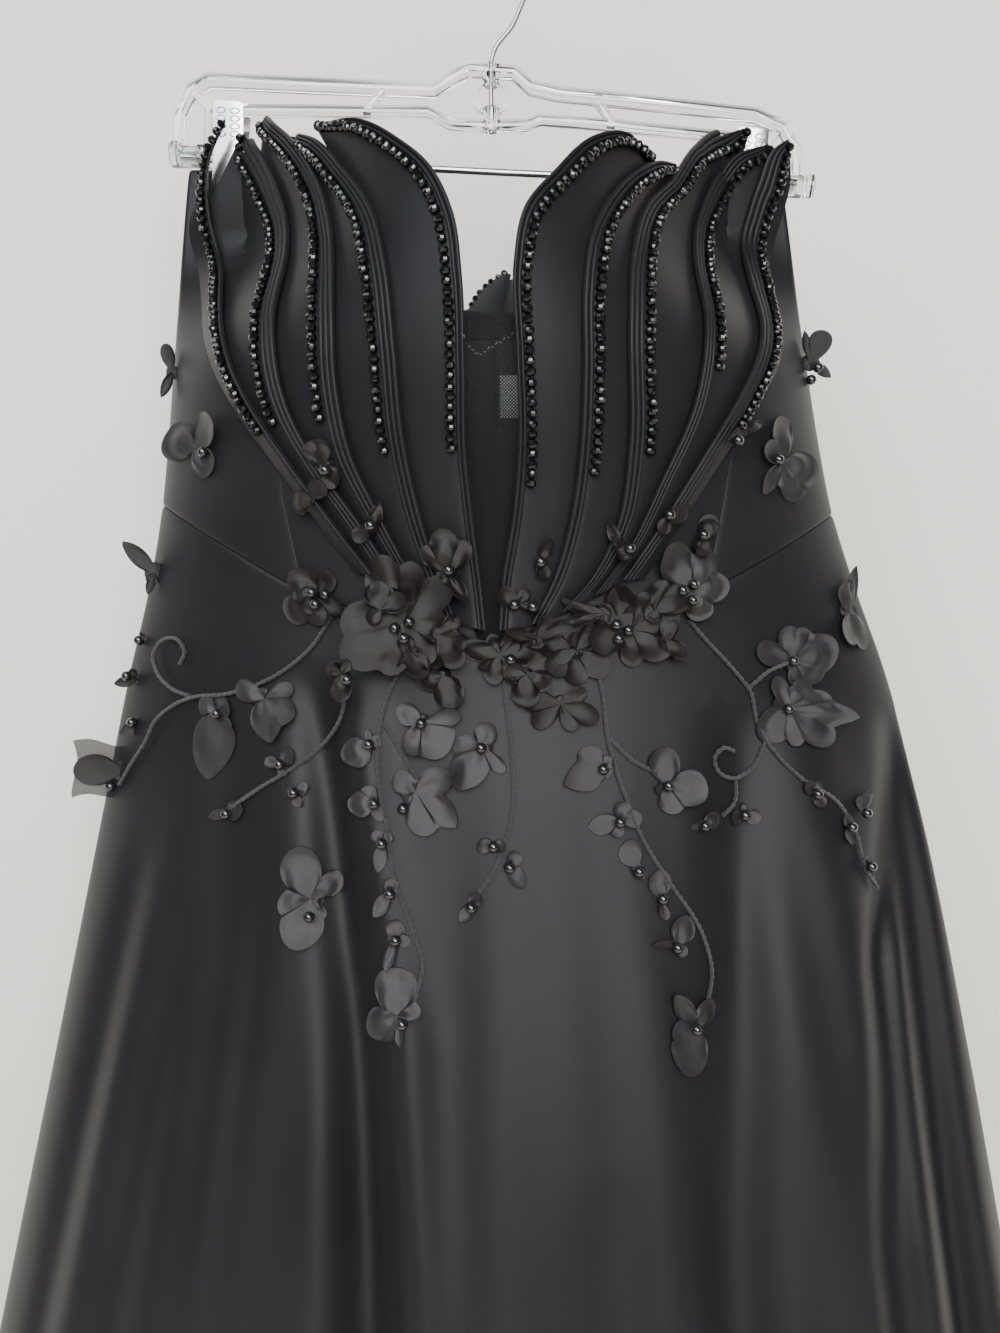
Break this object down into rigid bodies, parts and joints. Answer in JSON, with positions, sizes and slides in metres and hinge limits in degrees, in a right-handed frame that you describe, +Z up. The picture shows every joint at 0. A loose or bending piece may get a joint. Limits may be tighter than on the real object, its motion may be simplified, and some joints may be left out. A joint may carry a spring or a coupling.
{
  "type": "ball gown",
  "caption": "Strapless black satin ball gown with layered petal bodice, net inset, corded flower sprays and long flared skirt, hung from a clear clip hanger.",
  "frame": {"origin": "inside top of the hanger hook's arc, where it rests on a rail", "axes": "+Z up, -Y the gown's front, +X to the right of someone facing the front; the hanger lies in the XZ plane"},
  "size_m": [0.9, 0.2912, 1.513],
  "materials": {
    "satin": "black satin with a soft sheen",
    "flower_satin": "black satin, crisper sheen",
    "net": "fine black net, seen through",
    "clear_plastic": "clear, glossy",
    "hook_steel": "drawn wire",
    "clip_steel": "dull plated",
    "label_cloth": "plain woven tape, unprinted"
  },
  "bodies": {
    "root": {"skirt_front": "satin", "skirt_back_left": "satin", "skirt_back_right": "satin", "bodice_side_left": "satin", "bodice_side_right": "satin", "bodice_front_left": "satin", "bodice_front_right": "satin", "bodice_back_left": "satin", "bodice_back_right": "satin", "net_inset": "net", "label": "label_cloth", "petal_left_1": "satin", "petal_left_2": "satin", "petal_left_3": "satin", "petal_left_4": "satin", "petal_left_5": "satin", "petal_right_1": "satin", "petal_right_2": "satin", "petal_right_3": "satin", "petal_right_4": "satin", "petal_right_5": "satin", "petal_back_left": "satin", "petal_back_right": "satin", "spray_hip_left": "flower_satin", "spray_low_left": "flower_satin", "spray_drop_left": "flower_satin", "spray_centre": "flower_satin", "spray_drop_right": "flower_satin", "spray_hip_right": "flower_satin", "flower_waist_left": "flower_satin", "flower_waist_side": "flower_satin", "flower_waist_centre": "flower_satin", "flower_waist_right": "flower_satin", "flower_waist_far": "flower_satin", "flower_hip_waist": "flower_satin", "flower_skirt": "flower_satin", "flower_bodice_left": "flower_satin", "flower_bodice_right": "flower_satin", "flower_front_left": "flower_satin", "flower_side_right": "flower_satin", "hanger_frame": "clear_plastic", "hanger_hook": "hook_steel", "clip_rod": "clip_steel", "clip_left": "clip_steel", "clip_right": "clip_steel"}
  },
  "joints": []
}
